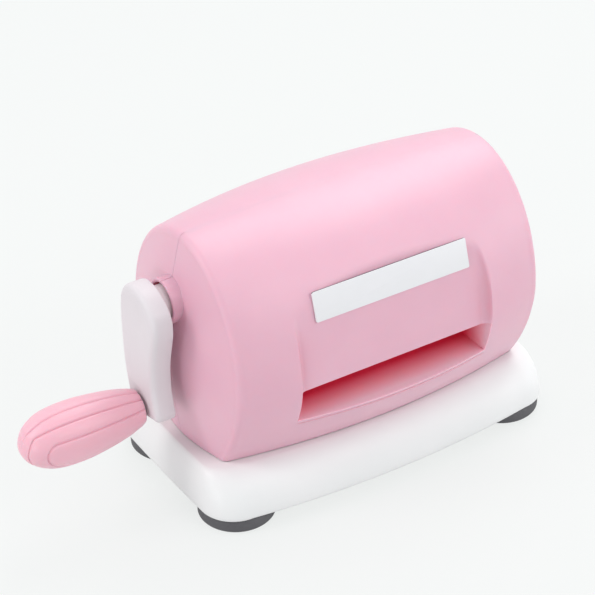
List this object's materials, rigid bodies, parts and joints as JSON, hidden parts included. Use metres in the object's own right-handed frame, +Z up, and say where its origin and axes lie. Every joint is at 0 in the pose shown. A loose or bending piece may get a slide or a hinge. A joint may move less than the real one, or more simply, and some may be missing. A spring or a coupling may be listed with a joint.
{
  "type": "hand cranked die cutting machine",
  "caption": "Hand-cranked roller press for card: barrel housing with a through slot, crank with turning grip, geared rollers, moulded base on suction feet.",
  "frame": {"origin": "on the table top, under the middle of the machine's bounding box, crank and grip included", "axes": "+X along the rollers, away from the crank; +Y from the front slot with the name plate to the rear slot; +Z up"},
  "size_m": [0.2598, 0.1124, 0.1365],
  "materials": {
    "pink_plastic": "satin moulded",
    "grip_pink_plastic": "satin moulded",
    "white_plastic": "satin moulded",
    "pale_grey_plastic": "satin moulded",
    "dark_rubber": "matte",
    "steel": "ground",
    "zinc_plated_steel": "zinc plated",
    "white_nylon": "moulded"
  },
  "bodies": {
    "machine": {"base_shell": "white_plastic", "base_plate": "white_plastic", "front_housing": "pink_plastic", "rear_housing": "pink_plastic", "name_plate": "white_plastic", "left_frame": "zinc_plated_steel", "right_frame": "zinc_plated_steel", "foot_front_left": "dark_rubber", "foot_front_right": "dark_rubber", "foot_rear_left": "dark_rubber", "foot_rear_right": "dark_rubber", "foot_screw_front_left": "zinc_plated_steel", "foot_screw_front_right": "zinc_plated_steel", "foot_screw_rear_left": "zinc_plated_steel", "foot_screw_rear_right": "zinc_plated_steel", "base_screw_front_left": "zinc_plated_steel", "base_screw_front_right": "zinc_plated_steel", "base_screw_rear_left": "zinc_plated_steel", "base_screw_rear_right": "zinc_plated_steel", "frame_screw_front_left": "zinc_plated_steel", "frame_screw_front_right": "zinc_plated_steel", "frame_screw_rear_left": "zinc_plated_steel", "frame_screw_rear_right": "zinc_plated_steel", "housing_screw_high_left": "zinc_plated_steel", "housing_screw_high_right": "zinc_plated_steel", "housing_screw_low_left": "zinc_plated_steel", "housing_screw_low_right": "zinc_plated_steel", "tie_rod_low_front": "zinc_plated_steel", "tie_rod_low_rear": "zinc_plated_steel", "tie_rod_high_front": "zinc_plated_steel", "tie_rod_high_rear": "zinc_plated_steel", "upper_left_bush": "white_nylon", "upper_right_bush": "white_nylon", "lower_left_bush": "white_nylon", "lower_right_bush": "white_nylon", "crank_bush": "white_nylon", "hub_bush": "white_nylon"},
    "crank": {"crank_arm": "pale_grey_plastic", "drive_shaft": "steel", "drive_pinion": "steel", "shaft_clip": "zinc_plated_steel", "grip_pin": "steel", "grip_washer": "pale_grey_plastic"},
    "grip": {"crank_grip": "grip_pink_plastic"},
    "upper_roller_set": {"upper_roller": "steel", "upper_shaft": "steel", "drive_gear": "white_nylon", "upper_sync_gear": "white_nylon"},
    "lower_roller_set": {"lower_roller": "steel", "lower_shaft": "steel", "lower_sync_gear": "white_nylon"}
  },
  "joints": [
    {"name": "crank_turn", "type": "hinge", "parent": "machine", "child": "crank", "pos_m": [-0.0545, 0, 0.1025], "axis": [1, 0, 0], "continuous": true},
    {"name": "grip_spin", "type": "hinge", "parent": "crank", "child": "grip", "pos_m": [-0.0945, 0, 0.0516], "axis": [1, 0, 0], "continuous": true},
    {"name": "upper_roller_spin", "type": "hinge", "parent": "machine", "child": "upper_roller_set", "pos_m": [0.0355, 0, 0.0775], "axis": [1, 0, 0], "continuous": true},
    {"name": "lower_roller_spin", "type": "hinge", "parent": "machine", "child": "lower_roller_set", "pos_m": [0.0355, 0, 0.0415], "axis": [1, 0, 0], "continuous": true}
  ],
  "couplings": [
    {"joint": "upper_roller_spin", "follows": "crank_turn", "ratio": -0.53846},
    {"joint": "lower_roller_spin", "follows": "crank_turn", "ratio": 0.53846}
  ]
}
